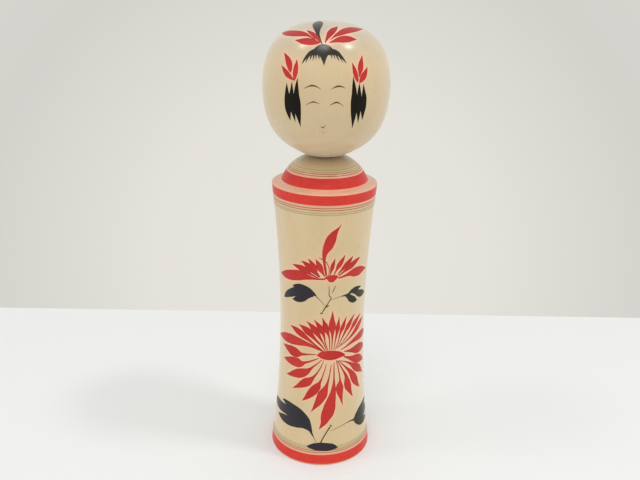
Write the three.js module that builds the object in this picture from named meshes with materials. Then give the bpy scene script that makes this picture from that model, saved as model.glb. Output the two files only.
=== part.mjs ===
// A traditional turned kokeshi doll in two pieces of wood.
//
// The body is one turning: a waisted column with a raised shoulder dome and a blind socket in its
// top. The head is one turning with its own neck peg. The peg ends in a bulge that was forced past
// the lip of the socket, so the head cannot come off again, but it still turns.
//
// Millimetres, +Z up. The origin is the centre of the flat base. The face looks along -Y.

import * as THREE from "three";

// Facets around every turned surface
const TURN_SEGMENTS = 48;

// Column, from the base up to the rim of the shoulder
const BASE_RADIUS = 29.0;
const BASE_CHAMFER = 0.5;
const WAIST_RADIUS = 23.8;
const WAIST_HEIGHT = 88.8;
const RIM_RADIUS = 28.1;
const RIM_HEIGHT = 159.7;
const RIM_CHAMFER = 0.5;
const FLANK_STEPS = 12;

// How the flank leaves the base, the waist and the rim: handle lengths of its two curves
const BASE_FLARE_IN = 3.05;
const BASE_FLARE_UP = 25.0;
const WAIST_REACH_DOWN = 40.0;
const WAIST_REACH_UP = 26.3;
const RIM_FLARE_IN = 1.0;
const RIM_FLARE_DOWN = 10.7;

// Shoulder: a nearly flat ledge, then a dome with a flat top around the socket
const LEDGE_HEIGHT = 161.2;
const DOME_RADIUS = 23.1;
const DOME_TOP = 174.4;
const DOME_TOP_RADIUS = 6.6;
const DOME_WALL_REACH = 1.2;
const DOME_TOP_REACH = 10.7;
const DOME_STEPS = 12;

// Socket: a straight lip, a wider chamber that holds the bulge of the peg, and a blind floor
const LIP_RADIUS = 5.8;
const LIP_LENGTH = 7.0;
const LIP_CHAMFER = 0.6;
const CHAMBER_RADIUS = 6.9;
const CHAMBER_TAPER = 1.5;
const SOCKET_FLOOR_HEIGHT = 150.7;
const SOCKET_FLOOR_TAPER = 1.6;

// Head: widest a little above the middle, with a flat crown and a small flat under it
const HEAD_RADIUS = 32.7;
const HEAD_WIDEST_HEIGHT = 210.5;
const HEAD_TOP = 242.0;
const HEAD_UNDERSIDE = 175.4;
const UNDERSIDE_RADIUS = 10.4;
const CROWN_REACH = 22.0;
const CROWN_SIDE_REACH = 21.2;
const CHIN_OUT = 12.3;
const CHIN_UP = 5.2;
const CHEEK_REACH = 22.7;
const HEAD_STEPS = 14;

// Peg, part of the head
const PEG_RADIUS = LIP_RADIUS - 0.1;
const BULGE_RADIUS = CHAMBER_RADIUS - 0.3;
const BULGE_TOP_GAP = 0.6;
const BULGE_LENGTH = 5.0;
const PEG_END_RADIUS = 4.6;
const PEG_END_GAP = 0.3;
const PEG_END_TAPER = 6.0;
const PEG_FILLET = 0.8;

const WOOD_COLOUR = 0xd8c096;
const HEAD_COLOUR = 0xd4bf98;

/** A point of a turned outline: distance from the axis, height above the base. */
function at(radius, height) {
  return new THREE.Vector2(radius, height);
}

/** A cubic curve in the outline, without its first point, which the stretch before it has placed. */
function curve(start, startHandle, endHandle, end, steps) {
  const points = new THREE.CubicBezierCurve(start, startHandle, endHandle, end).getPoints(steps);
  return points.slice(1);
}

/** The column's side from the base to the rim, drawn in at the waist. */
function flankOutline() {
  const foot = at(BASE_RADIUS, BASE_CHAMFER);
  const waist = at(WAIST_RADIUS, WAIST_HEIGHT);
  const rim = at(RIM_RADIUS, RIM_HEIGHT);
  const lower = curve(
    foot,
    at(BASE_RADIUS - BASE_FLARE_IN, BASE_FLARE_UP),
    at(WAIST_RADIUS, WAIST_HEIGHT - WAIST_REACH_DOWN),
    waist,
    FLANK_STEPS,
  );
  const upper = curve(
    waist,
    at(WAIST_RADIUS, WAIST_HEIGHT + WAIST_REACH_UP),
    at(RIM_RADIUS - RIM_FLARE_IN, RIM_HEIGHT - RIM_FLARE_DOWN),
    rim,
    FLANK_STEPS,
  );
  return [foot, ...lower, ...upper];
}

/** The ledge and the dome above it, from the rim's chamfer to the flat around the socket. */
function shoulderOutline() {
  const ledgeEdge = at(RIM_RADIUS - RIM_CHAMFER, RIM_HEIGHT + RIM_CHAMFER);
  const domeFoot = at(DOME_RADIUS, LEDGE_HEIGHT);
  const dome = curve(
    domeFoot,
    at(DOME_RADIUS, LEDGE_HEIGHT + DOME_WALL_REACH),
    at(DOME_TOP_RADIUS + DOME_TOP_REACH, DOME_TOP),
    at(DOME_TOP_RADIUS, DOME_TOP),
    DOME_STEPS,
  );
  return [ledgeEdge, domeFoot, ...dome];
}

/** The socket, from its chamfered mouth down to the centre of its floor. */
function socketOutline() {
  const lipEnd = DOME_TOP - LIP_LENGTH;
  return [
    at(LIP_RADIUS, DOME_TOP - LIP_CHAMFER),
    at(LIP_RADIUS, lipEnd),
    at(CHAMBER_RADIUS, lipEnd - CHAMBER_TAPER),
    at(CHAMBER_RADIUS, SOCKET_FLOOR_HEIGHT + SOCKET_FLOOR_TAPER),
    at(CHAMBER_RADIUS - SOCKET_FLOOR_TAPER, SOCKET_FLOOR_HEIGHT),
    at(0, SOCKET_FLOOR_HEIGHT),
  ];
}

/** The peg, from the centre of its end up to where it grows out of the head. */
function pegOutline() {
  const endHeight = SOCKET_FLOOR_HEIGHT + PEG_END_GAP;
  const bulgeTop = DOME_TOP - LIP_LENGTH - CHAMBER_TAPER - BULGE_TOP_GAP;
  const neckStart = bulgeTop + CHAMBER_TAPER;
  return [
    at(0, endHeight),
    at(PEG_END_RADIUS, endHeight),
    at(BULGE_RADIUS, endHeight + PEG_END_TAPER),
    at(BULGE_RADIUS, endHeight + PEG_END_TAPER + BULGE_LENGTH),
    at(BULGE_RADIUS, bulgeTop),
    at(PEG_RADIUS, neckStart),
    at(PEG_RADIUS, HEAD_UNDERSIDE - PEG_FILLET),
    at(PEG_RADIUS + PEG_FILLET, HEAD_UNDERSIDE),
  ];
}

/** The head's outside, from the edge of its flat underside to the middle of its crown. */
function headOutline() {
  const underside = at(UNDERSIDE_RADIUS, HEAD_UNDERSIDE);
  const widest = at(HEAD_RADIUS, HEAD_WIDEST_HEIGHT);
  const lower = curve(
    underside,
    at(UNDERSIDE_RADIUS + CHIN_OUT, HEAD_UNDERSIDE + CHIN_UP),
    at(HEAD_RADIUS, HEAD_WIDEST_HEIGHT - CHEEK_REACH),
    widest,
    HEAD_STEPS,
  );
  const upper = curve(
    widest,
    at(HEAD_RADIUS, HEAD_WIDEST_HEIGHT + CROWN_SIDE_REACH),
    at(CROWN_REACH, HEAD_TOP),
    at(0, HEAD_TOP),
    HEAD_STEPS,
  );
  return [underside, ...lower, ...upper];
}

/** One piece of turned wood, from an outline that starts and ends on the axis. */
function turned(name, outline, colour) {
  const geometry = new THREE.LatheGeometry(outline, TURN_SEGMENTS);
  geometry.rotateX(Math.PI / 2);
  const material = new THREE.MeshStandardMaterial({ color: colour, roughness: 0.45, metalness: 0 });
  const mesh = new THREE.Mesh(geometry, material);
  mesh.name = name;
  return mesh;
}

function buildBody() {
  const base = [at(0, 0), at(BASE_RADIUS - BASE_CHAMFER, 0)];
  const outline = [...base, ...flankOutline(), ...shoulderOutline(), ...socketOutline()];
  return turned("body", outline, WOOD_COLOUR);
}

function buildHead() {
  return turned("head", [...pegOutline(), ...headOutline()], HEAD_COLOUR);
}

const doll = new THREE.Group();
doll.add(buildBody(), buildHead());

export default doll;
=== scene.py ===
"""Looks of a turned and painted kokeshi doll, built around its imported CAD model.

Both pieces of wood are turned again as fine, smooth solids from the CAD nodes' own outlines. The
painting lies on them as thin films of dye: every brush stroke is a ribbon along a line drawn on the
unrolled surface, and the bands and lines put on at the lathe are thin rings.
"""

import math

import bpy
import numpy as np
from mathutils import Matrix, Vector


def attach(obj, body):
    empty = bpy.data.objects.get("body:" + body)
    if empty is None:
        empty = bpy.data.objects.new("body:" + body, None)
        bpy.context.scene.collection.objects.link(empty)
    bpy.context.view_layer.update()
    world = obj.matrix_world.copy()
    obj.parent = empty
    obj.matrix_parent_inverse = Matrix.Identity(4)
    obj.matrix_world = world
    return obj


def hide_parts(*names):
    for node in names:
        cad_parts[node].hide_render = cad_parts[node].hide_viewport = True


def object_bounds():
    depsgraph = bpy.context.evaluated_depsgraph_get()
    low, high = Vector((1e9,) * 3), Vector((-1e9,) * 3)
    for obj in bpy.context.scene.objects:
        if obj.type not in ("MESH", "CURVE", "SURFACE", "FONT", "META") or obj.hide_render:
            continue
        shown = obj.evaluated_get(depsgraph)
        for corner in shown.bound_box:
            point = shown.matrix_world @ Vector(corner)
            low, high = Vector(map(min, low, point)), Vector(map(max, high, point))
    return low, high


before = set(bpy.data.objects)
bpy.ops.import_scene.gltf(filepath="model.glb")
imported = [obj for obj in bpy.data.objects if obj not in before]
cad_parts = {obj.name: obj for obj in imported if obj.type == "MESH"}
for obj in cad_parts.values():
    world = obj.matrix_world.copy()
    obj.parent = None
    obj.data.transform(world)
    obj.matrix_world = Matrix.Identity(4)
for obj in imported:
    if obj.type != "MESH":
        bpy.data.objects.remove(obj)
cad_low, cad_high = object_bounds()

MM = 0.001

# ---------------------------------------------------------------------------------------------
# Strokes. Each is a list of (across, up, width) in millimetres on the unrolled surface, in the
# order the brush moved. On the body, across runs round the column at ROLL_RADIUS from the middle
# of the front, and up is the height above the base. On the head, both start from the middle of the
# brow, FACE_TILT above a level line through FACE_CENTRE_HEIGHT.

ROLL_RADIUS = 24.0
FACE_RADIUS = 33.0
FACE_TILT = math.radians(25.0)
FACE_CENTRE_HEIGHT = 208.7

UPPER_FLOWER = [
    # left outer petal
    [(1.1, 113.6, 0.9), (-2.2, 113.4, 0.9), (-5, 113.6, 1.5), (-8, 114, 3.2), (-10.6, 114.3, 4.8),
     (-14, 113.9, 6), (-18, 112.9, 5.9), (-22, 111.9, 4.9), (-25.4, 111.1, 3), (-28.8, 110.5, 0)],
    # eight inner petals, from left to right
    [(-2.5, 114.1, 0.5), (-4.6, 115.1, 0.8), (-6.6, 116.1, 1.3), (-8.4, 117.3, 2.8), (-10.4, 118.2, 3.7),
     (-12.6, 118.8, 3), (-14.8, 119.2, 1.7), (-17.2, 119.5, 0)],
    [(-1.9, 114.4, 0.4), (-3.4, 115.8, 0.7), (-4.9, 117.1, 1.5), (-6.2, 118.7, 3.2), (-7.4, 120.2, 3.4),
     (-8.8, 121.4, 2.4), (-10.2, 122.2, 1.3), (-11.6, 122.8, 0)],
    [(-1.5, 114.6, 0.4), (-2.6, 116, 0.9), (-3.6, 117.4, 1.6), (-4.2, 119, 2.6), (-4.9, 120.6, 2.9),
     (-5.8, 122.2, 2.1), (-6.8, 123.6, 1.1), (-7.9, 124.7, 0)],
    [(0.8, 115, 0.5), (0.1, 116.4, 0.9), (-0.6, 117.8, 1.9), (-1.4, 119.4, 3), (-2, 121, 3),
     (-2.7, 122.6, 1.9),
     (-3.3, 123.8, 0.9), (-3.9, 124.9, 0)],
    [(3.5, 115.6, 0.4), (3.8, 116.8, 0.6), (4.2, 118.4, 1.3), (4.6, 120.2, 2.1), (4.95, 121.8, 1.9),
     (5.5, 123.6, 0.9), (6, 125.5, 0)],
    [(5.6, 116, 0.5), (6.4, 117.6, 0.7), (7.2, 119.3, 1.5), (8.2, 121.1, 2.6), (9.2, 122.8, 2.4),
     (10.2, 124.6, 1.4), (11.1, 126.7, 0)],
    [(7.6, 115.8, 0.5), (9.2, 117.6, 1), (11, 119.5, 2.2), (12.4, 120.9, 2.9), (13.7, 122.2, 2.5),
     (14.9, 123.6, 1.5), (15.9, 125.1, 0)],
    [(8.2, 115, 0.6), (10.4, 116.6, 1), (12.8, 118.2, 2.3), (15.2, 119.6, 3.4), (17.4, 121, 3),
     (19.5, 122.2, 1.7), (21.5, 123, 0)],
    # right outer petal
    [(8, 113.8, 0.9), (8.8, 113.85, 0.9), (12.2, 114.6, 1.4), (15.3, 115.2, 3.3), (18, 115.2, 5.2),
     (21.1, 115, 5.4), (24.2, 114.9, 3.7), (26.8, 114.5, 1.7), (29.6, 113.9, 0)],
    # the heart of the flower
    [(0.9, 113.9, 0.6), (2.6, 114.2, 2.6), (4.4, 113.7, 4.4), (6, 114.2, 3.2), (7.6, 114.8, 1.2)],
    # tall petal that stands up from the heart
    [(1.7, 115.3, 0.9), (0.7, 121.5, 1.2), (0.4, 126, 1.8), (0.9, 129, 3), (2.4, 132.6, 4.8),
     (3.4, 135.6, 5), (4.6, 138.6, 3.6), (6, 140.9, 1.9), (7, 142.2, 0.8), (8.2, 144.4, 0)],
    # thin curls beside its foot
    [(0.9, 124, 0.4), (2.2, 121.9, 0.4), (2.8, 120.3, 0.4), (2.8, 115.7, 0.3)],
    [(1.4, 120.3, 0.3), (1.9, 115.7, 0.3)],
    [(-2.3, 125.9, 0.1), (-1.3, 125.2, 0.35), (-0.3, 124.9, 0.5)],
]

BIG_FLOWER = [
    # upper petals, from left to right
    [(0.6, 71, 0.5), (-2, 73, 0.7), (-4, 74.5, 1), (-7, 76.7, 1.7), (-9.4, 78.2, 2.8), (-11.8, 79.6, 3.9),
     (-14.2, 80.7, 3.7), (-16.8, 81.7, 2.2), (-19.6, 82.5, 0)],
    [(1.7, 70.9, 0.4), (0, 73.8, 0.8), (-1.7, 75.6, 1.1), (-3.5, 77.5, 1.5), (-5.6, 79.7, 2.7),
     (-7.7, 81.8, 4.3), (-9.8, 83.2, 3.2), (-11.6, 84.2, 1.5), (-13.7, 85, 0)],
    [(2.6, 70.8, 0.4), (1.7, 73.6, 0.5), (0.5, 76.1, 0.8), (-0.9, 78.6, 1.5), (-2.3, 80.8, 2.6),
     (-3.8, 83, 3.8), (-5.3, 84.9, 2.9), (-6.9, 86.4, 1.4), (-9, 87.9, 0)],
    [(3.5, 70.9, 0.4), (2.5, 73.6, 0.5), (1.7, 76.4, 0.6), (1.4, 78.6, 0.9), (0.8, 80.8, 1.7),
     (-0.2, 82.9, 3),
     (-1.2, 84.8, 3.2), (-2.5, 86.9, 1.7), (-4.7, 89.5, 0)],
    [(4.4, 71, 0.4), (4.3, 74, 0.5), (4.2, 76.6, 0.6), (3.9, 79, 0.8), (3.3, 81.2, 1.5), (2.5, 83.4, 3),
     (1.8, 85.6, 3.1), (1, 88, 1.6), (-0.2, 91, 0)],
    [(5.5, 71, 0.4), (5.6, 74, 0.5), (5.7, 76.6, 0.7), (5.75, 79, 1.1), (5.7, 81.4, 2), (5.6, 83.8, 3.3),
     (5.55, 86, 4), (5.45, 88.2, 3.1), (5.5, 90.4, 1.9), (5.6, 92.6, 0.9), (5.6, 94.8, 0)],
    [(6.6, 71, 0.4), (7.1, 74, 0.4), (7.5, 76.6, 0.6), (7.9, 79, 1), (8.3, 81.4, 1.6), (8.7, 83.8, 2.8),
     (8.95, 85.8, 2.1), (9.2, 88, 1.1), (9.45, 90.9, 0)],
    [(7.4, 71.2, 0.3), (8.6, 74, 0.4), (9.4, 76.6, 0.5), (9.9, 79, 0.8), (10.6, 81.4, 1.3),
     (11.6, 83.6, 2.5),
     (12.4, 85.8, 2), (13.2, 88, 1), (14.2, 90.1, 0)],
    [(8.4, 71.6, 0.3), (9.8, 74.2, 0.4), (11.1, 76.8, 0.6), (12.4, 79.2, 1), (13.8, 81.6, 1.7),
     (15.4, 83.9, 3), (17, 86.3, 2.3), (18.5, 88.2, 1.1), (20.1, 90, 0)],
    [(9.3, 72.2, 0.3), (11.6, 74.6, 0.4), (14, 77.2, 0.6), (16.2, 79.6, 1), (18.3, 82, 1.9),
     (20.2, 84, 3.3),
     (22.3, 85.6, 2.5), (24.2, 86.9, 1.2), (26.2, 88, 0)],
    [(10, 72.9, 0.3), (13, 74.3, 0.5), (16, 76, 1), (18.4, 77.5, 1.7), (20.6, 79, 2.6), (23, 80.7, 3.5),
     (25.4, 82.4, 3.2), (27.8, 83.6, 2), (30.2, 84.6, 0)],
    [(10.8, 70.5, 0.3), (13.5, 71.4, 0.7), (17, 72.8, 1.5), (20.5, 73.8, 2.8), (24, 74.3, 4.2),
     (27.5, 74.5, 5), (30.5, 74.4, 4.2), (33.5, 73.8, 2.2), (36, 73, 0)],
    # right petals, going down
    [(12.8, 69, 0.3), (14.8, 68.7, 1), (17, 68.3, 2), (19.2, 68, 3.3), (21.6, 67.6, 5), (24.6, 67.1, 5.9),
     (27.8, 66.5, 4.9), (30.6, 65.8, 3.1), (33.2, 65.2, 0)],
    [(12.6, 66.3, 0.6), (14.4, 65.1, 1.1), (16.4, 64.1, 1.9), (18.4, 63.1, 3), (20.4, 62.2, 4.3),
     (22.6, 61.3, 5.2), (25, 60.3, 5), (27.4, 59.2, 3.8), (29.8, 57.8, 2), (32.4, 56.4, 0)],
    [(10, 64, 0.3), (12.6, 63, 0.5), (15, 61.8, 0.9), (17.4, 60.1, 1.6), (19.6, 58.2, 2.9), (22, 56.2, 4.5),
     (24.4, 54.5, 4.6), (26.4, 52.8, 3.2), (28.2, 51, 1.6), (30.2, 49, 0)],
    [(9.2, 64.1, 0.3), (11.4, 62, 0.5), (13.4, 59.8, 0.8), (15.4, 57.5, 1.5), (17.2, 55.4, 2.4),
     (18.6, 53.3, 3.5), (19.8, 51.1, 4.5), (21, 48.9, 4.7), (22.3, 46.5, 3.7), (23.8, 44.2, 2),
     (26, 41.7, 0)],
    [(8.6, 64.3, 0.3), (10.6, 60.9, 0.6), (12.1, 58, 0.8), (13.4, 55.6, 1.3), (14.5, 53, 2.1),
     (14.9, 50.8, 3.2), (15.3, 48.6, 4.4), (15.8, 46.6, 4.4), (16.5, 44.6, 3.4), (17.4, 42.4, 2),
     (19.2, 38.6, 0)],
    [(8.1, 64.4, 0.3), (9.2, 60.5, 0.5), (9.9, 56.8, 0.6), (10.5, 53, 0.7), (10.6, 50.8, 1.8),
     (10.4, 49, 3.6),
     (10.35, 47, 4.5), (10.5, 45, 4), (10.9, 42.4, 2.7), (11.4, 39.6, 1.4), (12.2, 35.6, 0)],
    # left petals, going up
    [(5.5, 62.4, 0.2), (5, 59, 0.5), (4.5, 55.8, 0.6), (3.8, 52.4, 1), (2.9, 49.2, 2), (1.8, 46.4, 4),
     (0.8, 44, 5.3), (-0.1, 41.8, 4.8), (-1.3, 39.3, 3.8), (-2.7, 36.9, 2.4), (-3.9, 34.9, 1.1),
     (-5.3, 32.7, 0)],
    [(2.8, 63, 0.2), (2.1, 60.2, 0.4), (1.2, 57, 0.5), (0.3, 54, 0.7), (-0.8, 51.4, 1.6), (-2.2, 48.8, 4.2),
     (-3.9, 46.4, 4.9), (-5.9, 43.8, 4), (-8, 41.2, 2.2), (-10.4, 38.8, 0)],
    [(1.3, 65.2, 0.2), (0.4, 62.6, 0.4), (-0.8, 59.9, 0.5), (-2.2, 57.4, 0.8), (-4, 54.8, 1.4),
     (-5.8, 52.8, 3.2), (-7.8, 51, 5), (-10.4, 49.1, 4.2), (-13.2, 47, 2.2), (-16.8, 44.6, 0)],
    [(0.2, 65.4, 0.3), (-2, 63.2, 0.5), (-4, 61.4, 0.8), (-6, 59.4, 1.6), (-8, 57.6, 3.4),
     (-10.4, 56.2, 5.1),
     (-13, 55, 5.4), (-16, 53.7, 4), (-19.2, 52.3, 2), (-22.2, 51.3, 0)],
    [(-1.6, 66.4, 0.3), (-4.4, 64.9, 0.7), (-7, 63.6, 1), (-9.6, 62.5, 1.6), (-11.4, 61.6, 3.6),
     (-13.6, 61.4, 5.6), (-16.4, 61.2, 5.5), (-19.6, 60.8, 4.3), (-22.6, 60.4, 2.3), (-25.4, 60.2, 0)],
    [(-3, 68.5, 0.3), (-6.2, 68.2, 0.6), (-9.2, 67.7, 1.1), (-11.6, 67.3, 2), (-13.4, 67.2, 4.4),
     (-15.6, 67.2, 6), (-18.4, 67.4, 5.8), (-21.4, 67.8, 3.8), (-24, 68.1, 1.9), (-26.4, 68.2, 0)],
    [(1, 70.5, 0.4), (-1.4, 71.6, 0.9), (-4, 72.9, 1.6), (-8.4, 74.1, 2.7), (-14, 74.5, 4.9),
     (-18.8, 74.3, 6), (-24, 73.5, 5.2), (-28.8, 72.4, 2.8), (-33.4, 71.4, 0)],
    # the long petal that hangs down
    [(7, 63.5, 0.3), (7, 58, 0.6), (7.05, 54, 0.75), (7.05, 51, 1.3), (6.9, 48, 2.2), (6.6, 45, 3.1),
     (6, 42, 4.3),
     (5.2, 38.5, 5.6), (4.6, 35.5, 6.5), (3.8, 32.6, 6.6), (2.7, 29.8, 5.4), (1.7, 26.6, 3.2),
     (0.4, 24.3, 1.4),
     (-0.7, 22.3, 0)],
    # the heart of the flower
    [(-2.7, 68, 0), (-1.5, 68.2, 2.2), (0, 68.3, 4.2), (2.5, 68.1, 5.3), (5, 67.9, 5.7), (7.5, 67.8, 5.2),
     (10, 67.6, 3.9), (12, 67.2, 2.2), (13.5, 66.9, 0.6)],
]

UPPER_LEFT_LEAF = [
    [(-3.4, 103.4, 0.6), (-5.6, 104.9, 2.6), (-8.5, 106.2, 4.2), (-12, 107.4, 3.6), (-15.4, 107.3, 2),
     (-17.8, 106.7, 0)],
    [(-6, 104.4, 2), (-10, 104.4, 5), (-14, 104.4, 5.4), (-18, 102.6, 4.8), (-21.2, 100.8, 3.9),
     (-23.6, 99, 2.5), (-25.8, 97.2, 0)],
    [(-5, 103.6, 1.5), (-8.5, 103, 3.6), (-11.5, 101.2, 4.6), (-14.2, 99.9, 3.8), (-16.4, 99.1, 1.8),
     (-18.1, 98.8, 0)],
]

UPPER_RIGHT_LEAF = [
    [(9.8, 102.7, 0.3), (12.5, 102.8, 0.9), (15, 102.9, 1.6)],
    [(12.8, 102.6, 1), (14.6, 101.8, 2.6), (16.7, 99.9, 3.8), (18.6, 98.7, 3.6), (20.4, 97.9, 1.8),
     (21.6, 97.7, 0)],
    [(14.8, 103.1, 1.2), (16.8, 104.2, 2.2), (19.2, 104.7, 2.9), (21.6, 104.8, 2.2), (23.6, 104.8, 1),
     (25, 104.9, 0)],
    [(17.5, 103.4, 1.4), (20, 102.8, 2.6), (22.5, 101.5, 3.8), (25, 100.4, 4.3), (27.6, 99.8, 3.2),
     (29.6, 99.2, 1.6), (31, 98.9, 0)],
]

UPPER_STEMS = [
    [(3.3, 109.4, 0.25), (3.35, 106.5, 0.35), (3.5, 103.8, 0.45), (4.5, 102.4, 0.5), (3.9, 101, 0.45),
     (2.9, 99.2, 0.45), (1.6, 97, 0.6), (0, 93.8, 0.5)],
    [(-1.2, 93.7, 0.3), (-0.5, 93.3, 0.9), (0.2, 93.4, 0.4)],
    [(1.4, 96.8, 0.7), (2.4, 97.4, 0.7), (3.5, 98.1, 0.3)],
    [(6.8, 109.3, 0.25), (5.9, 107.2, 0.45), (5, 105, 0.15)],
    [(-3.6, 103.2, 0.5), (-1.2, 101, 0.25), (1, 98, 0.15)],
    [(5, 101.3, 0.1), (9.5, 102.7, 0.25)],
]

LOWER_LEFT_LEAF = [
    [(-4.6, 19.6, 1), (-6, 23.5, 3), (-8.6, 27.4, 5.6), (-12.4, 30.4, 6.4), (-16.6, 32.3, 5.2),
     (-20.6, 33.5, 3.2), (-23, 33.8, 1.7), (-24.8, 33.4, 0)],
    [(-7, 24, 3), (-11, 26.8, 6.5), (-16, 28.6, 6.5), (-21, 29, 6), (-25.7, 28.6, 6), (-29.8, 28.5, 5.8),
     (-33.5, 28.2, 4.2), (-36.8, 27.6, 0)],
    [(-5.4, 21.4, 1.6), (-9, 23.4, 3.4), (-13, 23.8, 5.6), (-17.4, 23.2, 5.8), (-21.6, 22.8, 5),
     (-25.2, 22.6, 3), (-28.6, 22.4, 0)],
]

LOWER_RIGHT_LEAF = [
    [(19.8, 23.8, 1.2), (22.4, 25.6, 3.6), (25.8, 27.4, 4.4), (29.6, 28.6, 4), (33, 29.2, 2.6),
     (36.5, 29.2, 0)],
    [(20.2, 23.4, 2), (24, 23.6, 5.5), (28, 24, 6.2), (32, 24, 5.4), (36, 23.4, 3.4), (39.5, 22.4, 0)],
    [(20, 23.2, 1.6), (22.6, 21.2, 3.8), (25.8, 19.6, 4.8), (29.2, 18.8, 3.8), (32.2, 18.6, 2),
     (34.6, 18.6, 0)],
]

LOWER_STEMS = [
    [(-1.9, 14.3, 0.15), (-3.2, 17, 0.35), (-4.4, 19.6, 1.2)],
    [(5, 21, 0.1), (9.5, 22.6, 0.25), (14, 23.8, 0.35), (17.2, 24.1, 0.8), (20, 23.6, 1.6)],
    [(0.3, 14.2, 0.7), (1.6, 17.4, 0.6), (3.2, 20.6, 0.65), (4.9, 23.6, 0.8)],
    [(4.9, 24.9, 0.3), (5.4, 24.3, 0.9), (5.8, 23.9, 0.4)],
]

GROUND_MOUND = [
    [(-7, 11, 0), (-5, 11.3, 2.4), (-2.6, 11.5, 4.4), (0.6, 11.6, 5.1), (3.6, 11.3, 4.9), (5.8, 11.1, 4),
     (7.6, 10.5, 2.3), (9, 9.9, 0)],
]

SIDE_HAIR = [
    [(-20.1, -5.9, 0), (-20.5, -10, 2), (-20.7, -15, 3.8), (-20.8, -18, 3.8), (-20.5, -21.8, 2.4),
     (-19.95, -25.4, 0)],
    [(-17, -5.4, 0), (-17.5, -9, 1.4), (-18, -13, 2.9), (-18, -18, 3.4), (-17.6, -21.5, 2.2),
     (-17.2, -24, 1), (-16.9, -26.3, 0)],
    [(-13.9, -4.2, 0), (-14.6, -8, 1.6), (-15.1, -12, 2.9), (-15.1, -17, 4), (-14.9, -21, 3.4),
     (-14.4, -25, 1.7), (-14, -28.8, 0)],
    [(12.55, -3.4, 0), (13.2, -7, 1.5), (13.9, -11, 2.7), (14.4, -16, 3.8), (14.6, -21, 3.2),
     (14.7, -25, 1.7), (14.75, -29, 0)],
    [(16.1, -5.8, 0), (16.4, -9, 1.4), (16.9, -13, 2.7), (17.1, -18, 3.2), (17.5, -21.5, 1.9),
     (17.9, -26.2, 0)],
    [(18.4, -6, 0), (19.1, -9.5, 1.6), (19.8, -13, 3.1), (19.9, -17, 3.6), (20.1, -20.5, 2.2),
     (20.4, -24.6, 0)],
]

SIDE_PETALS = [
    [(-17.6, -1.4, 0.5), (-17.6, 0.6, 2.4), (-18, 3, 3.2), (-18.8, 5.2, 2.6), (-19.8, 7.3, 1.3),
     (-20.9, 9.2, 0)],
    [(-16.2, -5, 0.5), (-17.8, -3.6, 1.9), (-19.4, -1.9, 2.6), (-20.8, 0.2, 2), (-21.8, 1.9, 0.9),
     (-22.6, 3.2, 0)],
    [(-15.9, -5.6, 0.4), (-15.4, -3.8, 1.7), (-14.9, -1.6, 2.6), (-14.4, 0.8, 2.2), (-14, 2.7, 1),
     (-13.8, 4.2, 0)],
    [(15.2, -5.8, 0.5), (14.4, -4, 1.9), (13.5, -2, 2.3), (12.6, 0.2, 1.6), (11.4, 2.7, 0)],
    [(15.7, -3.2, 0.4), (15.8, -1.4, 1.6), (15.9, 1, 2.9), (16, 3.2, 2.4), (16.2, 5.2, 1.2),
     (16.35, 7.3, 0)],
    [(16.1, -5.9, 0.5), (17, -4.4, 2.4), (18, -2.5, 3), (18.9, -0.4, 2), (19.3, 1, 1), (19.6, 2.3, 0)],
]

TOP_PETALS = [
    [(-5.4, 13.2, 0.2), (-6.8, 14.3, 0.6), (-8.4, 15.6, 1.1), (-10, 16.8, 2.2), (-12.2, 18, 3.5),
     (-16, 19.8, 4.5), (-20, 22.2, 4.4), (-23.2, 24.9, 2.9), (-25.2, 26.8, 1.4), (-27.2, 28.6, 0)],
    [(-3.2, 12, 0.6), (-4.4, 13.7, 1.7), (-5.6, 15.3, 2.2), (-7, 17, 2.2), (-8.5, 18.7, 1.4),
     (-10.1, 20.6, 0)],
    [(-3.2, 11.3, 0.8), (-5, 11.4, 2.3), (-7, 12, 3.6), (-9, 12.5, 3.9), (-11, 13, 3.3), (-13, 13.7, 1.9),
     (-15.3, 14.5, 0)],
    [(-0.9, 11, 0.3), (-0.2, 13.2, 1.2), (0.8, 15.6, 2.5), (1.8, 17.9, 3.4), (2.9, 20, 3.2), (4, 22, 1.9),
     (5.2, 24.3, 0)],
    [(1.2, 12.7, 0.2), (2.4, 14, 0.6), (4, 15.7, 1.6), (5.8, 17.3, 2.8), (7.8, 19.2, 3.9), (9.8, 20.9, 4.5),
     (12, 22.6, 4.8), (14.4, 24.3, 4.2), (16.8, 26, 2.8), (20, 28.4, 0)],
    [(0.9, 11.1, 0.3), (3, 12.1, 1.5), (5, 13, 2.9), (7, 13.7, 3.9), (9, 14.3, 4), (11, 14.8, 2.9),
     (12.6, 15, 1.4), (13.9, 15.2, 0)],
]

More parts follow.
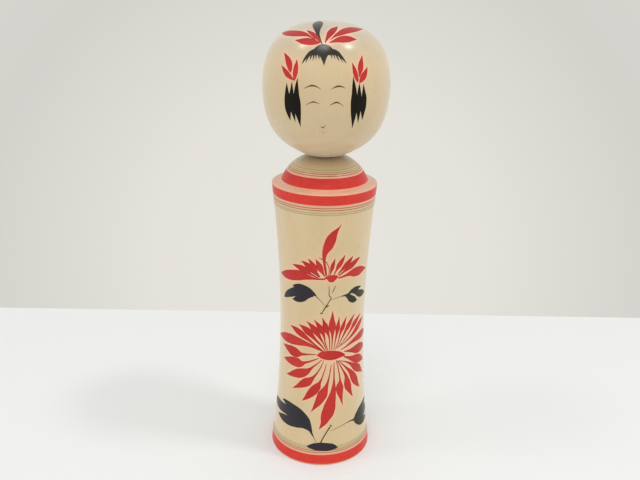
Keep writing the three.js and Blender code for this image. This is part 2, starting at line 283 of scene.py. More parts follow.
FORELOCK = [
    # the mass of hair, and the locks at its two sides
    [(-5.6, 7.2, 1.8), (-4.6, 7.4, 3.4), (-3.3, 7.6, 4.9), (-1.7, 7.7, 5.4), (-0.2, 7.6, 4.9),
     (1, 7.4, 3.6),
     (2.1, 7, 2)],
    [(-3.6, 6.5, 3), (-5.4, 6.6, 3), (-6.8, 6.3, 2.6), (-8.1, 5.6, 1.9), (-9.3, 4.6, 1.2),
     (-10.4, 3.2, 0.8),
     (-11.5, 1.6, 0)],
    [(0.4, 6.5, 3), (2, 6.6, 2.9), (3.6, 6.4, 2.6), (5, 5.8, 1.9), (6.2, 4.9, 1.1), (7.5, 3.5, 0.75),
     (8.9, 1.9, 0)],
    # the point in the middle
    [(-1.5, 7, 4.4), (-1.5, 5.4, 4.2), (-1.45, 4.4, 3.2), (-1.4, 3.4, 2.2), (-1.35, 2.2, 1.3),
     (-1.3, 0.3, 0)],
    # combed ends, left then right, from the outside in
    [(-7.6, 5.9, 1), (-8.6, 4.3, 0.7), (-9.1, 3.2, 0.5), (-9.6, 2, 0)],
    [(-6.8, 5.8, 0.9), (-7.3, 4.2, 0.6), (-7.8, 2.8, 0)],
    [(-5.7, 5.6, 0.9), (-6.05, 4.1, 0.55), (-6.35, 2.7, 0)],
    [(-4.8, 5.6, 0.8), (-4.9, 4.2, 0.5), (-5, 2.9, 0)],
    [(-3.7, 5.6, 0.9), (-3.6, 4.2, 0.6), (-3.4, 3, 0)],
    [(5.1, 5.6, 0.9), (6.1, 3.9, 0.6), (7.4, 2, 0)],
    [(4, 5.7, 0.9), (4.7, 4, 0.6), (5.5, 2.5, 0)],
    [(2.9, 5.7, 0.8), (3.2, 4.6, 0.5), (3.7, 3.3, 0)],
    [(1.8, 5.7, 0.8), (2, 4.6, 0.5), (2.3, 3.3, 0)],
]

TOPKNOT = [
    [(-2.3, 10.4, 0.5), (-3.3, 13, 0.9), (-4.3, 16.4, 1.5), (-4.8, 20, 2.9), (-5, 24, 4.9), (-5, 27.4, 5.5),
     (-4.9, 30.4, 4.6), (-4.8, 33.2, 2.6), (-4.8, 36, 0)],
]

BROWS_AND_EYES = [
    [(-10.9, -9.6, 0.12), (-9, -8.8, 0.4), (-6.8, -8.35, 0.75), (-4.7, -8.9, 0.45), (-2.7, -10.2, 0.1)],
    [(2.1, -10.2, 0.1), (3.7, -9.2, 0.4), (5.4, -8.55, 0.8), (7.3, -8.6, 0.5), (9, -9.3, 0.12)],
    [(-10.4, -17.5, 0.1), (-8.5, -16.6, 0.3), (-6.5, -16, 0.6), (-4.9, -16.4, 0.35), (-3.3, -17, 0.12)],
    [(1.8, -17.7, 0.12), (3.3, -16.8, 0.4), (5.2, -16.1, 0.65), (6.9, -16.6, 0.35), (8.7, -17.8, 0.1)],
]

NOSE = [
    [(-2.7, -27.9, 0.1), (-2.3, -28.5, 0.3), (-1.6, -28.85, 0.45), (-0.9, -28.4, 0.35), (-0.3, -27.4, 0.1)],
]
MOUTH = [
    [(-2, -31.4, 0.1), (-1.4, -31.5, 0.4), (-0.8, -31.4, 0.1)],
]

# Bands and lines put on while the body turned on the lathe: lowest and highest height in millimetres
RED_BANDS = {
    "base_band": (0.8, 6.4),
    "rim_band": (154.55, 159.7),
    "dome_band": (161.6, 166.55),
}
RED_LINES = {
    "base_lines_red": [7.9, 9.0],
    "rim_lines_red": [153.0, 151.85],
    "dome_lines_red": [167.6, 168.45],
}
GREEN_LINES = {
    "base_lines_green": [10.0, 11.1],
    "rim_lines_green": [150.4, 149.35],
    "dome_lines_green": [169.2, 170.1],
}
LINE_WIDTH = 0.5

# ---------------------------------------------------------------------------------------------
# Smooth curves


def slopes(t, values):
    """Slope of a smooth curve at each of its points, from the stretches on both sides."""
    span = np.diff(t)[:, None]
    rise = np.diff(values, axis=0) / span
    slope = np.empty_like(values)
    slope[1:-1] = (span[1:] * rise[:-1] + span[:-1] * rise[1:]) / (span[:-1] + span[1:])
    slope[0] = 2 * rise[0] - slope[1]
    slope[-1] = 2 * rise[-1] - slope[-2]
    return slope


def hermite(t, values, slope, at):
    """The curve with those values and slopes at t, read at other places."""
    i = np.clip(np.searchsorted(t, at, side="right") - 1, 0, len(t) - 2)
    span = (t[i + 1] - t[i])[:, None]
    s = (at - t[i])[:, None] / span
    return (
        (1 + 2 * s) * (1 - s) ** 2 * values[i]
        + s * (1 - s) ** 2 * span * slope[i]
        + s * s * (3 - 2 * s) * values[i + 1]
        + s * s * (s - 1) * span * slope[i + 1]
    )


def smooth_path(points, step):
    """A smooth line through points, the length up to each point, and the length up to each sample."""
    points = np.array(points, float)
    t = np.r_[0, np.cumsum(np.linalg.norm(np.diff(points, axis=0), axis=1))]
    if len(points) == 2:
        slope = np.repeat(np.diff(points, axis=0) / t[-1], 2, axis=0)
    else:
        slope = slopes(t, points)
    at = np.linspace(0, t[-1], max(2, round(t[-1] / step) + 1))
    return hermite(t, points, slope, at), t, at


def no_overshoot(t, values, at):
    """Values between the given ones that rise and fall only where they do."""
    rise = np.diff(values) / np.diff(t)
    slope = np.zeros_like(values)
    same = rise[:-1] * rise[1:] > 0
    slope[1:-1][same] = 2 * (rise[:-1] * rise[1:])[same] / (rise[:-1] + rise[1:])[same]
    slope[0] = rise[0]
    slope[-1] = rise[-1]
    return hermite(t, values[:, None], slope[:, None], at)[:, 0]


# ---------------------------------------------------------------------------------------------
# Outlines of the two turned pieces, from the CAD nodes' own corners

# The socket and the peg lie within this distance of the axis, and the outside beyond it
SOCKET_REACH = 7.5
# Corners closer together than this are one corner
SAME_CORNER = 0.02
ROW_STEP = 0.65
FOOT_STEP = 3.0
LEDGE_STEP = 1.0
EDGE_STEPS = 4


def outline_points(node_name):
    """Each different (radius, height) of a turned node's corners, in millimetres, from the bottom up."""
    corners = np.array([v.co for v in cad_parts[node_name].data.vertices]) / MM
    pairs = np.c_[np.hypot(corners[:, 0], corners[:, 1]), corners[:, 2]]
    pairs = pairs[np.lexsort((pairs[:, 0], pairs[:, 1]))]
    kept = [pairs[0]]
    for pair in pairs[1:]:
        if np.linalg.norm(pair - kept[-1]) > SAME_CORNER:
            kept.append(pair)
    return np.array(kept)


def worn_edge(start, corner, end):
    """Points between the two ends of a chamfer, rounded out towards the corner it was cut from."""
    share = np.linspace(0, 1, EDGE_STEPS + 1)[1:-1, None]
    return (1 - share) ** 2 * start + 2 * share * (1 - share) * np.array(corner) + share**2 * end


def with_rows(start, end, step):
    """A straight stretch of outline between two corners, without its last point."""
    share = np.linspace(0, 1, max(1, round(np.linalg.norm(end - start) / step)) + 1)[:-1, None]
    return start + (end - start) * share


body_points = outline_points("body")
dome_top = body_points[:, 1].max()
is_outside = (body_points[:, 0] > SOCKET_REACH) | (body_points[:, 1] == dome_top)
outside = body_points[is_outside]
socket = body_points[~is_outside & (body_points[:, 1] > dome_top / 2)][::-1]
rim_index = int(np.argmax(np.where(outside[:, 1] > dome_top / 2, outside[:, 0], 0)))
foot = outside[0]
flank = outside[1 : rim_index + 1]
ledge_edge = outside[rim_index + 1]
dome = outside[rim_index + 2 :]

head_points = outline_points("head")
widest_height = head_points[np.argmax(head_points[:, 0]), 1]
is_peg = (head_points[:, 0] <= SOCKET_REACH) & (head_points[:, 1] < widest_height)
peg = head_points[is_peg]
head_outside = head_points[~is_peg]
widest = int(np.argmax(head_outside[:, 0]))

flank_line = smooth_path(flank, ROW_STEP)[0]
dome_line = smooth_path(dome, ROW_STEP)[0]
body_line = np.vstack([
    with_rows(np.zeros(2), foot, FOOT_STEP),
    foot,
    worn_edge(foot, (flank[0, 0], foot[1]), flank[0]),
    flank_line,
    worn_edge(flank[-1], (flank[-1, 0], ledge_edge[1]), ledge_edge),
    with_rows(ledge_edge, dome[0], LEDGE_STEP),
    dome_line,
    socket,
])
head_line = np.vstack([
    smooth_path(head_outside[: widest + 1], ROW_STEP)[0],
    smooth_path(head_outside[widest:], ROW_STEP)[0][1:],
])
for line in (body_line, head_line):
    line[-1, 0] = 0.0
peg[0, 0] = 0.0

# The head's outline as seen from the middle of the face: direction up or down, and distance
face_rise = head_line[:, 1] - FACE_CENTRE_HEIGHT
line_angle = np.arctan2(face_rise, head_line[:, 0])
line_reach = np.hypot(face_rise, head_line[:, 0])


def on_body(across, up, lift):
    """Points in millimetres on the column, from places on its unrolled surface."""
    radius = np.interp(up, flank_line[:, 1], flank_line[:, 0]) + lift
    turn = across / ROLL_RADIUS
    return np.stack([radius * np.sin(turn), -radius * np.cos(turn), up], -1)


def on_head(across, up, lift):
    """Points in millimetres on the head, from places around the middle of the brow."""
    away = np.hypot(across, up) / FACE_RADIUS
    round_about = np.arctan2(up, across)
    x = np.sin(away) * np.cos(round_about)
    rise = np.sin(away) * np.sin(round_about)
    front = -np.cos(away)
    y = front * math.cos(FACE_TILT) + rise * math.sin(FACE_TILT)
    z = -front * math.sin(FACE_TILT) + rise * math.cos(FACE_TILT)
    reach = np.interp(np.arcsin(np.clip(z, -1, 1)), line_angle, line_reach) + lift
    return np.stack([x * reach, y * reach, FACE_CENTRE_HEIGHT + z * reach], -1)


def unrolled_body(points):
    """Places on the column's unrolled surface, from points."""
    return np.c_[np.arctan2(points[:, 0], -points[:, 1]) * ROLL_RADIUS, points[:, 2]]


def unrolled_head(points):
    """Places around the middle of the brow, from points on the head."""
    away = points - np.array([0, 0, FACE_CENTRE_HEIGHT])
    away = away / np.linalg.norm(away, axis=1)[:, None]
    front = away[:, 1] * math.cos(FACE_TILT) - away[:, 2] * math.sin(FACE_TILT)
    rise = away[:, 1] * math.sin(FACE_TILT) + away[:, 2] * math.cos(FACE_TILT)
    reach = np.arccos(np.clip(-front, -1, 1)) * FACE_RADIUS
    round_about = np.arctan2(rise, away[:, 0])
    return np.c_[reach * np.cos(round_about), reach * np.sin(round_about)]


# ---------------------------------------------------------------------------------------------
# Meshes


def make_object(name, vertices, faces, crease_deg):
    """A mesh object from corners in millimetres, smooth except at folds sharper than the crease."""
    mesh = bpy.data.meshes.new(name)
    mesh.from_pydata((np.asarray(vertices) * MM).tolist(), [], faces)
    mesh.validate()
    mesh.shade_smooth()
    mesh.set_sharp_from_angle(angle=math.radians(crease_deg))
    obj = bpy.data.objects.new(name, mesh)
    bpy.context.scene.collection.objects.link(obj)
    return obj


def add_value(obj, name, values):
    """A number per vertex that the material reads."""
    attribute = obj.data.attributes.new(name, "FLOAT", "POINT")
    attribute.data.foreach_set("value", np.asarray(values, np.float32))


def swept(loop, segments):
    """Vertices of an outline turned about the axis, a full circle for each of its points."""
    turn = np.arange(segments) * 2 * math.pi / segments
    x = loop[:, 0, None] * np.sin(turn)
    y = -loop[:, 0, None] * np.cos(turn)
    z = np.repeat(loop[:, 1, None], segments, 1)
    return np.stack([x, y, z], -1).reshape(-1, 3)


def swept_faces(rows, segments, closed):
    """Faces between neighbouring circles, and between the last and the first if it is closed."""
    faces = []
    for row in range(rows if closed else rows - 1):
        low, high = row * segments, (row + 1) % rows * segments
        for k in range(segments):
            n = (k + 1) % segments
            faces.append((low + k, low + n, high + n, high + k))
    return faces


TURNED_CREASE = 32
FILM_CREASE = 50
PIECE_SEGMENTS = 288
RING_SEGMENTS = 240


def turned(name, line):
    """A solid of revolution from an outline that starts and ends on the axis."""
    circles = line[1:-1]
    vertices = swept(circles, PIECE_SEGMENTS)
    faces = swept_faces(len(circles), PIECE_SEGMENTS, False)
    bottom = len(vertices)
    top = bottom + 1
    last = (len(circles) - 1) * PIECE_SEGMENTS
    for k in range(PIECE_SEGMENTS):
        n = (k + 1) % PIECE_SEGMENTS
        faces.append((bottom, n, k))
        faces.append((top, last + k, last + n))
    vertices = np.vstack([vertices, [0, 0, line[0, 1]], [0, 0, line[-1, 1]]])
    return make_object(name, vertices, faces, TURNED_CREASE)


# Films of dye: how far they reach into the wood, how far rings and strokes stand off it, and the step
# between two strokes
FILM_SINK = 0.05
FILM_LIFT = 0.03
STROKE_LIFT = 0.045
LAYER_LIFT = 0.0015


def ring(line):
    """Vertices and faces of a thin closed ring of dye on a stretch of an outline."""
    along = np.gradient(line, axis=0)
    along /= np.linalg.norm(along, axis=1)[:, None]
    outward = np.c_[along[:, 1], -along[:, 0]]
    loop = np.vstack([line + outward * FILM_LIFT, (line - outward * FILM_SINK)[::-1]])
    return swept(loop, RING_SEGMENTS), swept_faces(len(loop), RING_SEGMENTS, True)


def stretch(line, low, high):
    """The part of an outline between two heights."""
    near_end = 0.05
    between = line[(line[:, 1] > low + near_end) & (line[:, 1] < high - near_end)]
    first, last = ((np.interp(h, line[:, 1], line[:, 0]), h) for h in (low, high))
    return np.vstack([first, between, last])


STROKE_STEP = 0.45
STROKE_COLUMNS = 8
TIP_WIDTH = 0.06
# Strokes narrower than this dry browner, the more so the thinner they are
DRY_WIDTH = 1.5


def ribbon(stroke, place, lift):
    """Vertices, faces and values per vertex of one brush stroke, a thin closed film."""
    stroke = np.array(stroke, float)
    centre, t, at = smooth_path(stroke[:, :2], STROKE_STEP)
    width = np.maximum(no_overshoot(t, stroke[:, 2], at), TIP_WIDTH)
    along = np.gradient(centre, axis=0)
    along /= np.linalg.norm(along, axis=1)[:, None]
    sideways = np.c_[-along[:, 1], along[:, 0]]
    shares = np.linspace(-0.5, 0.5, STROKE_COLUMNS + 1)
    flat = centre[:, None] + sideways[:, None] * (width[:, None] * shares)[..., None]
    top = place(flat[..., 0], flat[..., 1], lift)
    under = place(flat[..., 0], flat[..., 1], -FILM_SINK)[:, ::-1]
    loops = np.concatenate([top, under], 1)
    rows, count = loops.shape[:2]
    faces = []
    for row in range(rows - 1):
        low, high = row * count, (row + 1) * count
        for k in range(count):
            n = (k + 1) % count
            faces.append((low + k, high + k, high + n, low + n))
    last = (rows - 1) * count
    for k in range(STROKE_COLUMNS):
        below = count - 1 - k
        faces.append((k, k + 1, below - 1, below))
        faces.append((last + k + 1, last + k, last + below, last + below - 1))
    side = np.abs(np.r_[shares, shares[::-1]]) * 2
    values = {
        "load": np.repeat(at / t[-1], count),
        "edge": ((1 - side) * width[:, None] / 2).ravel(),
        "dry": np.repeat(np.clip(1 - width / DRY_WIDTH, 0, 1), count),
    }
    return loops.reshape(-1, 3), faces, values


def joined(parts):
    """One list of vertices and one of faces from several."""
    vertices, faces, start = [], [], 0
    for part_vertices, part_faces in parts:
        vertices.append(part_vertices)
        faces.extend(tuple(i + start for i in face) for face in part_faces)
        start += len(part_vertices)
    return np.vstack(vertices), faces


# How much of a stroke's dye load grows along it, and how much differs from stroke to stroke
LOAD_ALONG = 0.6
LOAD_SPREAD = 0.4
random = np.random.default_rng(7)


def painted(name, strokes, place, body_name, material):
    """One painted motif: its strokes, each a hair above the one before."""
    parts, values = [], []
    for order, stroke in enumerate(strokes):
        vertices, faces, stroke_values = ribbon(stroke, place, STROKE_LIFT + order * LAYER_LIFT)
        parts.append((vertices, faces))
        stroke_values["load"] = stroke_values["load"] * LOAD_ALONG + random.uniform(0, LOAD_SPREAD)
        values.append(stroke_values)
    obj = make_object(name, *joined(parts), FILM_CREASE)
    for value_name in ("load", "edge", "dry"):
        add_value(obj, value_name, np.concatenate([each[value_name] for each in values]))
    obj.data.materials.append(material)
    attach(obj, body_name)


# Dye that creeps out of a stroke: reach in millimetres, how sharply it falls, where it is taken as none
BLEED_REACH = 1.1
BLEED_FALL = 1.4
BLEED_CUTOFF = 4 * BLEED_REACH
BLEED_MOST = 0.62
BLEED_STEP = 0.8


def bleed_of(strokes, places):
    """How much dye has crept to each place from the strokes: 0 far away, towards 1 among them."""
    left = np.ones(len(places))
    for stroke in strokes:
        stroke = np.array(stroke, float)
        centre, t, at = smooth_path(stroke[:, :2], BLEED_STEP)
        half = no_overshoot(t, stroke[:, 2], at) / 2
        margin = BLEED_CUTOFF + half.max()
        near = ((places > centre.min(0) - margin) & (places < centre.max(0) + margin)).all(1).nonzero()[0]
        gap = np.linalg.norm(places[near, None] - centre, axis=2) - half
        gap = np.maximum(gap.min(1), 0)
        left[near] *= 1 - BLEED_MOST * np.exp(-((gap / BLEED_REACH) ** BLEED_FALL))
    return 1 - left


# ---------------------------------------------------------------------------------------------
# Materials


def linear(red, green, blue):
    """A shader colour from 0 to 255 screen values."""
    def one(c):
        c /= 255
        return c / 12.92 if c <= 0.04045 else ((c + 0.055) / 1.055) ** 2.4
    return (one(red), one(green), one(blue), 1.0)


# Wax: its gloss on wood, and the pale haze it shows edge-on
WAX_IOR = 1.45
WAX_HAZE_ROUGHNESS = 0.55
WAX_TINT = linear(255, 250, 240)
WOOD_ROUGHNESS = 0.24
WOOD_GLOSS = 0.5
WOOD_HAZE = 0.46
DYE_HAZE = 0.03

# Noises: scale per metre, detail, and stretch along the turning axis
WAX_PATCHES = (220, 2, 3)
OPEN_FIBRES = (500, 1, 6)
WOOD_FIBRES = (700, 2, 16)
WOOD_CLOUDS = (55, 3, 2.0)
DYE_CLOUDS = (160, 3, 1.5)
ALONG_FIBRES = (1100, 3, 8)
ROUND_THE_AXIS = (260, 3, 0.14)

# Year rings, fibres and clouds of the wood, and the relief left by the lathe
YEAR_RING_SCALE = 60
YEAR_RING_STRETCH = 0.12
RING_CONTRAST = 0.22
FIBRE_CONTRAST = 0.1
CLOUD_CONTRAST = 0.4
RIDGE_SCALE = 700
RELIEF_STRENGTH = 0.06
RELIEF_HEIGHT = 0.00003

# How steeply a face looks up where the greying starts and where it is full, and what it lets through. The
# greying is partly the darker end grain and partly painted light: a painted greyish sheen on the crown, and
# painted shade on the body's ledge and dome top under the head.
CROWN_END_GRAIN_AND_SHEEN = (0.28, 0.95, linear(216, 224, 252))
DOME_END_GRAIN_AND_SHADE = (0.72, 1.0, linear(214, 208, 206))

# Dye where it clouds, and where a stroke is so thin that it dries browner
DYE_CLOUD = (0.8, 0.72, 0.72, 1.0)
DRYNESS = 0.75
DRY_RED = linear(112, 58, 42)
DRY_INK = linear(64, 50, 32)
DRY_INDIGO = linear(58, 54, 50)
LINE_BROWN = linear(170, 90, 66)
LINE_GREEN = linear(170, 152, 111)


def new_material(name):
    material = bpy.data.materials.new(name)
    material.use_nodes = True
    tree = material.node_tree
    return material, tree, tree.nodes["Principled BSDF"]


def mixed(tree, blend, factor, first, second):
    """A colour mix. Each of factor, first and second is a constant or an output socket."""
    made = tree.nodes.new("ShaderNodeMix")
    made.data_type = "RGBA"
    made.blend_type = blend
    for socket, value in ((0, factor), (6, first), (7, second)):
        if isinstance(value, bpy.types.NodeSocket):
            tree.links.new(value, made.inputs[socket])
        else:
            made.inputs[socket].default_value = value
    return made.outputs[2]


def remapped(tree, socket, low, high, to_low, to_high):
    made = tree.nodes.new("ShaderNodeMapRange")
    for name, value in (("From Min", low), ("From Max", high), ("To Min", to_low), ("To Max", to_high)):
        made.inputs[name].default_value = value
    tree.links.new(socket, made.inputs["Value"])
    return made.outputs["Result"]


def placed(tree, location, scale):
    """The piece's own coordinates, moved and scaled."""
    where = tree.nodes.new("ShaderNodeTexCoord")
    mapping = tree.nodes.new("ShaderNodeMapping")
    mapping.inputs["Location"].default_value = location
    mapping.inputs["Scale"].default_value = scale
    tree.links.new(where.outputs["Object"], mapping.inputs["Vector"])
    return mapping.outputs["Vector"]


def noise(tree, scale, detail, stretch_up):
    """Noise in the piece's own coordinates, stretched along the turning axis."""
    made = tree.nodes.new("ShaderNodeTexNoise")
    made.inputs["Scale"].default_value = scale
    made.inputs["Detail"].default_value = detail
    tree.links.new(placed(tree, (0, 0, 0), (1, 1, 1 / stretch_up)), made.inputs["Vector"])
    return made.outputs["Fac"]


def value_of(tree, name):
    """The number per vertex of that name."""
    made = tree.nodes.new("ShaderNodeAttribute")
    made.attribute_name = name
    return made.outputs["Fac"]


def waxed(tree, shader, roughness, gloss, haze):
    """A thin hand-rubbed wax polish, a little duller in some places, with a pale haze seen edge-on."""
    patches = remapped(tree, noise(tree, *WAX_PATCHES), 0.3, 0.7, roughness - 0.04, roughness + 0.05)
    tree.links.new(patches, shader.inputs["Roughness"])
    shader.inputs["IOR"].default_value = WAX_IOR
    shader.inputs["Specular IOR Level"].default_value = gloss
    shader.inputs["Sheen Weight"].default_value = haze
    shader.inputs["Sheen Roughness"].default_value = WAX_HAZE_ROUGHNESS
    shader.inputs["Sheen Tint"].default_value = WAX_TINT


def turning_marks(tree, shader):
    """The lathe's finest ridges round the piece, and open fibres along it."""
    ridges = tree.nodes.new("ShaderNodeTexWave")
    ridges.bands_direction = "Z"
    ridges.inputs["Scale"].default_value = RIDGE_SCALE
    ridges.inputs["Distortion"].default_value = 2.0
    ridges.inputs["Detail"].default_value = 1.0
    tree.links.new(placed(tree, (0, 0, 0), (1, 1, 1)), ridges.inputs["Vector"])
    height = mixed(tree, "MIX", 0.5, ridges.outputs["Color"], noise(tree, *OPEN_FIBRES))
    bump = tree.nodes.new("ShaderNodeBump")
    bump.inputs["Strength"].default_value = RELIEF_STRENGTH
    bump.inputs["Distance"].default_value = RELIEF_HEIGHT
    tree.links.new(height, bump.inputs["Height"])
    tree.links.new(bump.outputs["Normal"], shader.inputs["Normal"])


def end_grain_and_painted_light(tree, colour, low, high, greyed):
    """The colour greyed, the more so the more the face looks up: partly the darker end grain, partly
    painted light, a painted sheen on the crown and painted shade on the body under the head.
    """
    normal = tree.nodes.new("ShaderNodeNewGeometry")
    parts = tree.nodes.new("ShaderNodeSeparateXYZ")
    tree.links.new(normal.outputs["True Normal"], parts.inputs["Vector"])
    share = remapped(tree, parts.outputs["Z"], low, high, 0.0, 1.0)
    return mixed(tree, "MULTIPLY", share, colour, greyed)


def wood_material(name, pale, deep, pith, end_grain_and_light, bleeds):
    """Pale, close-grained dogwood: faint year rings about an off-centre pith, fibres, and dye bleed."""
    material, tree, shader = new_material(name)
    rings = tree.nodes.new("ShaderNodeTexWave")
    rings.wave_type = "RINGS"
    rings.rings_direction = "Z"
    rings.inputs["Scale"].default_value = YEAR_RING_SCALE
    rings.inputs["Distortion"].default_value = 2.0
    rings.inputs["Detail"].default_value = 2.0
    rings.inputs["Detail Scale"].default_value = 0.6
    tree.links.new(placed(tree, (*pith, 0), (1, 1, YEAR_RING_STRETCH)), rings.inputs["Vector"])
    ring_share = remapped(tree, rings.outputs["Fac"], 0, 1, 0.0, RING_CONTRAST)
    fibre_share = remapped(tree, noise(tree, *WOOD_FIBRES), 0.42, 0.72, 0.0, FIBRE_CONTRAST)
    cloud_share = remapped(tree, noise(tree, *WOOD_CLOUDS), 0.35, 0.7, 0.0, CLOUD_CONTRAST)
    colour = mixed(tree, "MIX", ring_share, pale, deep)
    colour = mixed(tree, "MIX", fibre_share, colour, deep)
    colour = mixed(tree, "MIX", cloud_share, colour, deep)
    # Faces that look up are greyed: partly darker end grain, partly a painted sheen on the crown and
    # painted shade on the body under the head.
    colour = end_grain_and_painted_light(tree, colour, *end_grain_and_light)
    for value_name, tint in bleeds.items():
        colour = mixed(tree, "MIX", value_of(tree, value_name), colour, tint)
    tree.links.new(colour, shader.inputs["Base Color"])
    turning_marks(tree, shader)
    waxed(tree, shader, WOOD_ROUGHNESS, WOOD_GLOSS, WOOD_HAZE)
    return material


def dye_material(name, thick, thin, dry, streak, roughness, gloss, grain=ALONG_FIBRES, with_painted_sheen=True):
    """Dye soaked into the wood: denser towards a stroke's end and edges, streaked, dry where thin."""
    material, tree, shader = new_material(name)
    load = remapped(tree, value_of(tree, "load"), 0.1, 1.0, 0.0, 0.8)
    pooled = remapped(tree, value_of(tree, "edge"), 0.0, 0.9, 0.45, 0.0)
    streaks = remapped(tree, noise(tree, *grain), 0.45, 0.75, 0.0, streak)
    cloud = remapped(tree, noise(tree, *DYE_CLOUDS), 0.4, 0.7, 0.0, 0.3)
    colour = mixed(tree, "MIX", load, thin, thick)
    colour = mixed(tree, "MIX", pooled, colour, thick)
    colour = mixed(tree, "MIX", streaks, colour, thin)
    colour = mixed(tree, "MULTIPLY", cloud, colour, DYE_CLOUD)
    dried = remapped(tree, value_of(tree, "dry"), 0, 1, 0.0, DRYNESS)
    colour = mixed(tree, "MIX", dried, colour, dry)
    # Dye on faces that look up is greyed like the crown's wood: partly darker end grain, partly a painted
    # sheen.
    if with_painted_sheen:
        colour = end_grain_and_painted_light(tree, colour, *CROWN_END_GRAIN_AND_SHEEN)
    tree.links.new(colour, shader.inputs["Base Color"])
    waxed(tree, shader, roughness, gloss, DYE_HAZE)
    return material


body_wood = wood_material(
    "body_wood", linear(215, 191, 148), linear(205, 178, 133), (0.006, -0.012), DOME_END_GRAIN_AND_SHADE,
    {"bleed": linear(243, 186, 152), "band_bleed": linear(227, 163, 130)},
)
head_wood = wood_material(
    "head_wood", linear(210, 188, 149), linear(200, 175, 134), (-0.009, -0.008), CROWN_END_GRAIN_AND_SHEEN,
    {"bleed": linear(236, 180, 152)},
)

red_dye = dye_material("red_dye", linear(176, 34, 35), linear(203, 60, 54), DRY_RED, 0.3, 0.3, 0.16)
band_dye = dye_material(
    "band_dye", linear(203, 38, 36), linear(224, 72, 60), DRY_RED, 0.9, 0.3, 0.16, ROUND_THE_AXIS
)
red_line_dye = dye_material(
    "red_line_dye", LINE_BROWN, linear(190, 114, 84), LINE_BROWN, 0.3, 0.35, 0.4, with_painted_sheen=False
)
green_line_dye = dye_material(
    "green_line_dye", LINE_GREEN, linear(184, 164, 124), LINE_GREEN, 0.3, 0.35, 0.4, with_painted_sheen=False
)
side_hair_ink = dye_material(
    "side_hair_ink", linear(15, 12, 7), linear(24, 19, 12), DRY_INK, 0.2, 0.35, 0.12
)
crown_hair_ink = dye_material(
    "crown_hair_ink", linear(16, 11, 8), linear(28, 20, 16), DRY_INK, 0.2, 0.24, 0.58
)
fine_ink = dye_material(
    "fine_ink", linear(44, 31, 10), linear(88, 67, 34), linear(88, 67, 34), 0.2, 0.4, 0.3
)
leaf_dye = dye_material("leaf_dye", linear(20, 18, 26), linear(43, 39, 49), DRY_INDIGO, 0.5, 0.3, 0.3)
# A greener leaf dye for the two leaves on the right, a little paler than the other: partly the dye's own
# colour, partly a painted sheen where these leaves turn towards the right edge.
green_leaf_dye_painted_sheen = dye_material(
    "green_leaf_dye_painted_sheen", linear(26, 27, 24), linear(51, 53, 44), DRY_INDIGO, 0.6, 0.3, 0.18
)
mouth_dye = dye_material(
    "mouth_dye", linear(176, 128, 96), linear(190, 146, 112), linear(176, 128, 96), 0.2, 0.35, 0.4
)

# ---------------------------------------------------------------------------------------------
# The two turned pieces

body = turned("body_turning", body_line)
body.data.materials.append(body_wood)
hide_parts("body")
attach(body, "body")

head = turned("head_turning", np.vstack([peg, head_line]))
head.data.materials.append(head_wood)
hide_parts("head")
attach(head, "head")

# Dye that has crept into the wood around the red strokes and bands
BAND_BLEED_REACH = 1.35

places = np.array([v.co for v in body.data.vertices]) / MM
add_value(body, "bleed", bleed_of(UPPER_FLOWER + BIG_FLOWER, unrolled_body(places)))
band_bleed = np.zeros(len(places))
for low, high in RED_BANDS.values():
    gap = np.maximum(np.maximum(low - places[:, 2], places[:, 2] - high), 0)
    band_bleed = np.maximum(band_bleed, np.exp(-((gap / BAND_BLEED_REACH) ** 2)))
band_bleed[np.hypot(places[:, 0], places[:, 1]) < SOCKET_REACH] = 0
add_value(body, "band_bleed", band_bleed)

places = np.array([v.co for v in head.data.vertices]) / MM
head_bleed = bleed_of(SIDE_PETALS + TOP_PETALS, unrolled_head(places))
head_bleed[places[:, 2] < head_outside[0, 1]] = 0
add_value(head, "bleed", head_bleed)

# ---------------------------------------------------------------------------------------------
# Painting

painted("upper_flower", UPPER_FLOWER, on_body, "body", red_dye)
painted("big_flower", BIG_FLOWER, on_body, "body", red_dye)
painted("upper_left_leaf", UPPER_LEFT_LEAF, on_body, "body", leaf_dye)
painted("upper_right_leaf", UPPER_RIGHT_LEAF, on_body, "body", green_leaf_dye_painted_sheen)
painted("upper_stems", UPPER_STEMS, on_body, "body", fine_ink)
painted("lower_left_leaf", LOWER_LEFT_LEAF, on_body, "body", leaf_dye)
painted("lower_right_leaf", LOWER_RIGHT_LEAF, on_body, "body", green_leaf_dye_painted_sheen)
painted("lower_stems", LOWER_STEMS, on_body, "body", fine_ink)
painted("ground_mound", GROUND_MOUND, on_body, "body", leaf_dye)

painted("side_hair", SIDE_HAIR, on_head, "head", side_hair_ink)
painted("side_petals", SIDE_PETALS, on_head, "head", red_dye)
painted("top_petals", TOP_PETALS, on_head, "head", red_dye)
painted("forelock", FORELOCK, on_head, "head", crown_hair_ink)
painted("topknot", TOPKNOT, on_head, "head", crown_hair_ink)
painted("brows_and_eyes", BROWS_AND_EYES, on_head, "head", fine_ink)
painted("nose", NOSE, on_head, "head", fine_ink)
painted("mouth", MOUTH, on_head, "head", mouth_dye)


RING_LOAD = 0.6
RING_EDGE = 1.0


def turned_paint(name, stretches, material):
    """Bands or lines of dye round the body."""
    vertices, faces = joined([ring(part) for part in stretches])
    obj = make_object(name, vertices, faces, FILM_CREASE)
    add_value(obj, "load", np.full(len(vertices), RING_LOAD))
    add_value(obj, "edge", np.full(len(vertices), RING_EDGE))
    obj.data.materials.append(material)
    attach(obj, "body")


def line_rings(heights):
    """A stretch of outline at each height, as wide along a slope as it is on an upright side."""
    stretches = []
    for height in heights:
        line = flank_line if height < flank_line[-1, 1] else dome_line
        below, above = np.interp((height - 0.5, height + 0.5), line[:, 1], line[:, 0])
        half = LINE_WIDTH / 2 / math.hypot(1, below - above)
        stretches.append(stretch(line, height - half, height + half))
    return stretches


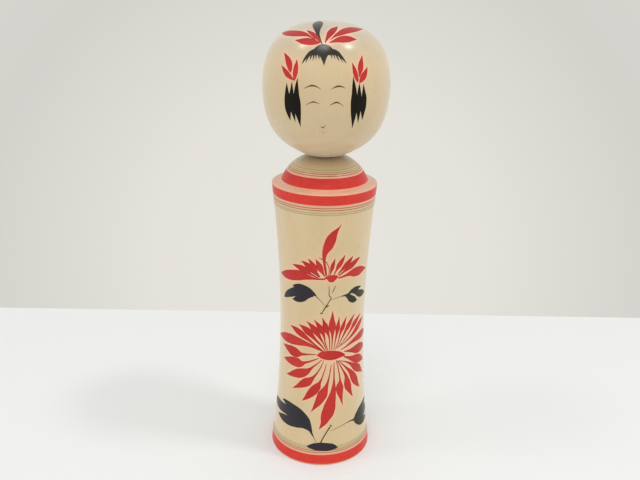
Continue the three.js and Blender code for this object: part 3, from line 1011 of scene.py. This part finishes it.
for name, (low, high) in RED_BANDS.items():
    line = flank_line if low < flank_line[-1, 1] else dome_line
    turned_paint(name, [stretch(line, low, high)], band_dye)
for name, heights in RED_LINES.items():
    turned_paint(name, line_rings(heights), red_line_dye)
for name, heights in GREEN_LINES.items():
    turned_paint(name, line_rings(heights), green_line_dye)

# ---------------------------------------------------------------------------------------------
# Stage: a pale table top that ends behind the doll, in a bright room

FLOOR_BACK = 0.172
FLOOR_FRONT = -1.4
FLOOR_HALF = 1.6
FLOOR_THICK = 0.02

floor_sides = [
    (-FLOOR_HALF, FLOOR_FRONT),
    (FLOOR_HALF, FLOOR_FRONT),
    (FLOOR_HALF, FLOOR_BACK),
    (-FLOOR_HALF, FLOOR_BACK),
]
floor_corners = np.array([(x, y, z) for z in (-FLOOR_THICK, 0.0) for x, y in floor_sides]) / MM
floor_faces = [(3, 2, 1, 0), (4, 5, 6, 7), (0, 1, 5, 4), (1, 2, 6, 5), (2, 3, 7, 6), (3, 0, 4, 7)]
floor = make_object("floor", floor_corners, floor_faces, TURNED_CREASE)
floor_material, floor_tree, floor_shader = new_material("floor")
floor_shader.inputs["Base Color"].default_value = linear(228, 230, 231)
floor_shader.inputs["Roughness"].default_value = 0.7
floor.data.materials.append(floor_material)

# The room is brightest straight behind the doll and darkest behind the camera
WALL_MIDDLE = (0.0, 0.93, -0.36)
ROOM = [
    (0.0, linear(231, 229, 222)),
    (0.11, linear(228, 226, 219)),
    (0.22, linear(211, 210, 204)),
    (0.45, linear(226, 224, 219)),
    (0.7, linear(229, 228, 224)),
    (1.0, linear(229, 228, 224)),
]

world = bpy.data.worlds.new("room")
bpy.context.scene.world = world
world.use_nodes = True
room = world.node_tree
direction = room.nodes.new("ShaderNodeTexCoord")
apart = room.nodes.new("ShaderNodeVectorMath")
apart.operation = "DISTANCE"
apart.inputs[1].default_value = WALL_MIDDLE
room.links.new(direction.outputs["Generated"], apart.inputs[0])
ramp = room.nodes.new("ShaderNodeValToRGB")
while len(ramp.color_ramp.elements) < len(ROOM):
    ramp.color_ramp.elements.new(0.5)
for element, (share, colour) in zip(ramp.color_ramp.elements, ROOM):
    element.position = share
for element, (share, colour) in zip(ramp.color_ramp.elements, ROOM):
    element.color = colour
room.links.new(remapped(room, apart.outputs["Value"], 0, 2, 0, 1), ramp.inputs["Fac"])
room.links.new(ramp.outputs["Color"], room.nodes["Background"].inputs["Color"])


def soft_light(name, location, size, power):
    """A rectangular lamp that faces the middle of the doll."""
    data = bpy.data.lights.new(name, "AREA")
    data.shape = "RECTANGLE"
    data.size, data.size_y = size
    data.energy = power
    lamp = bpy.data.objects.new(name, data)
    lamp.location = location
    middle = Vector((0, 0, (cad_low[2] + cad_high[2]) / 2))
    lamp.rotation_euler = (Vector(location) - middle).to_track_quat("Z", "Y").to_euler()
    bpy.context.scene.collection.objects.link(lamp)


soft_light("overhead", (-0.07, -0.34, 1.25), (0.25, 0.4), 2.4)
soft_light("window", (-0.2, -0.95, 0.6), (0.9, 0.9), 1.0)
soft_light("right_lamp", (0.58, -0.17, 1.25), (0.15, 0.15), 3.1)
soft_light("left_lamp", (-0.68, -0.15, 1.25), (0.2, 0.2), 1.3)

CAMERA_PLACE = (-0.0018, -0.3723, 0.2606)
CAMERA_LENS = 40.47
CAMERA_SENSOR = 36.0
CAMERA_SHIFT = (-0.0003, 0.0009)
# Degrees that the camera looks down, and that it leans
CAMERA_DOWN = 19.86
CAMERA_ROLL = 0.93

camera_data = bpy.data.cameras.new("camera")
camera_data.lens = CAMERA_LENS
camera_data.sensor_width = CAMERA_SENSOR
camera_data.shift_x, camera_data.shift_y = CAMERA_SHIFT
camera = bpy.data.objects.new("camera", camera_data)
camera.location = CAMERA_PLACE
tilt = Matrix.Rotation(math.radians(90 - CAMERA_DOWN), 3, "X")
roll = Matrix.Rotation(math.radians(CAMERA_ROLL), 3, "Z")
camera.rotation_euler = (tilt @ roll).to_euler()
bpy.context.scene.collection.objects.link(camera)
bpy.context.scene.camera = camera
bpy.context.scene.view_settings.view_transform = "Standard"
